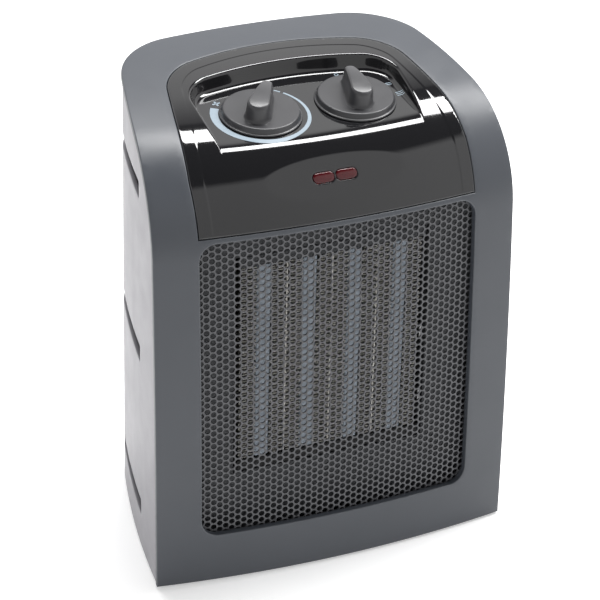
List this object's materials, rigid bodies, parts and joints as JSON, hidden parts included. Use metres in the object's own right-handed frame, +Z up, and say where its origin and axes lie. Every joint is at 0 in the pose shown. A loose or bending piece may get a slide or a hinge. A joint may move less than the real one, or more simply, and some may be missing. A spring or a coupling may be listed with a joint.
{
  "type": "ceramic space heater",
  "caption": "Small free-standing electric heater with a ceramic and fin element behind a perforated grille, a rear fan, two top knobs and two indicator lamps.",
  "frame": {"origin": "on the table, in the middle of the box round the heater, seen from above", "axes": "+Z up, +X to the right seen from the front, +Y towards the back"},
  "size_m": [0.1846, 0.1379, 0.2362],
  "materials": {
    "slate_plastic": "semi-gloss slate grey",
    "silver_plastic": "satin silver grey",
    "gloss_black": "piano gloss black",
    "knob_plastic": "satin dark grey",
    "black_plastic": "matte black",
    "red_lens": "clear dark red",
    "lamp_glass": "clear",
    "grille_metal": "dark grey, perforated all over",
    "ceramic": "matt",
    "aluminium": "mill",
    "steel": "zinc plated",
    "lamination_steel": "stacked sheets, dark",
    "coil_winding": "enamelled copper wire",
    "rubber": "matt"
  },
  "bodies": {
    "heater": {"front_bezel": "slate_plastic", "rear_housing": "silver_plastic", "control_panel": "gloss_black", "front_grille": "grille_metal", "base_plate": "black_plastic", "foot_front_left": "rubber", "foot_front_right": "rubber", "foot_rear_left": "rubber", "foot_rear_right": "rubber", "housing_screw_bottom_left": "steel", "housing_screw_bottom_right": "steel", "housing_screw_top_left": "steel", "housing_screw_top_right": "steel", "thermostat_body": "ceramic", "mode_switch_body": "black_plastic", "lens_left": "red_lens", "lens_right": "red_lens", "neon_lamp_left": "lamp_glass", "neon_lamp_right": "lamp_glass", "ceramic_bar_1": "ceramic", "ceramic_bar_2": "ceramic", "ceramic_bar_3": "ceramic", "ceramic_bar_4": "ceramic", "fin_strip_1": "aluminium", "fin_strip_2": "aluminium", "fin_strip_3": "aluminium", "fin_strip_4": "aluminium", "fin_strip_5": "aluminium", "fin_strip_6": "aluminium", "fin_strip_7": "aluminium", "fin_strip_8": "aluminium", "separator_1": "aluminium", "separator_2": "aluminium", "separator_3": "aluminium", "element_holder_top": "black_plastic", "element_holder_bottom": "black_plastic", "terminal_upper": "steel", "terminal_lower": "steel", "element_duct": "black_plastic", "thermal_cutout": "steel", "fan_bulkhead": "black_plastic", "fan_shroud": "black_plastic", "motor_core": "lamination_steel", "motor_coil": "coil_winding", "motor_bracket_front": "steel", "motor_bracket_rear": "steel", "motor_mount": "steel", "air_guide_left": "black_plastic", "air_guide_right": "black_plastic", "tip_switch_body": "black_plastic", "cord_gland": "rubber"},
    "thermostat_dial": {"knob_thermostat": "knob_plastic", "thermostat_shaft": "steel"},
    "mode_dial": {"knob_mode": "knob_plastic", "mode_shaft": "steel"},
    "fan": {"fan_impeller": "black_plastic", "motor_shaft": "steel", "motor_rotor": "lamination_steel"},
    "tip_plunger": {"tip_plunger": "black_plastic"}
  },
  "joints": [
    {"name": "thermostat_turn", "type": "hinge", "parent": "heater", "child": "thermostat_dial", "pos_m": [-0.0224, -0.014, 0.22142], "axis": [0, -0.1288, 0.9917], "range_deg": [-270, 0]},
    {"name": "mode_turn", "type": "hinge", "parent": "heater", "child": "mode_dial", "pos_m": [0.026, -0.014, 0.22142], "axis": [0, -0.1288, 0.9917], "range_deg": [-86, 0]},
    {"name": "fan_spin", "type": "hinge", "parent": "heater", "child": "fan", "pos_m": [0, 0.006, 0.111], "axis": [0, 1, 0], "continuous": true},
    {"name": "tip_plunger_slide", "type": "slide", "parent": "heater", "child": "tip_plunger", "axis": [0, 0, 1], "range_m": [-0.004, 0], "stiffness_N_per_m": 100, "springref_m": -0.004}
  ]
}
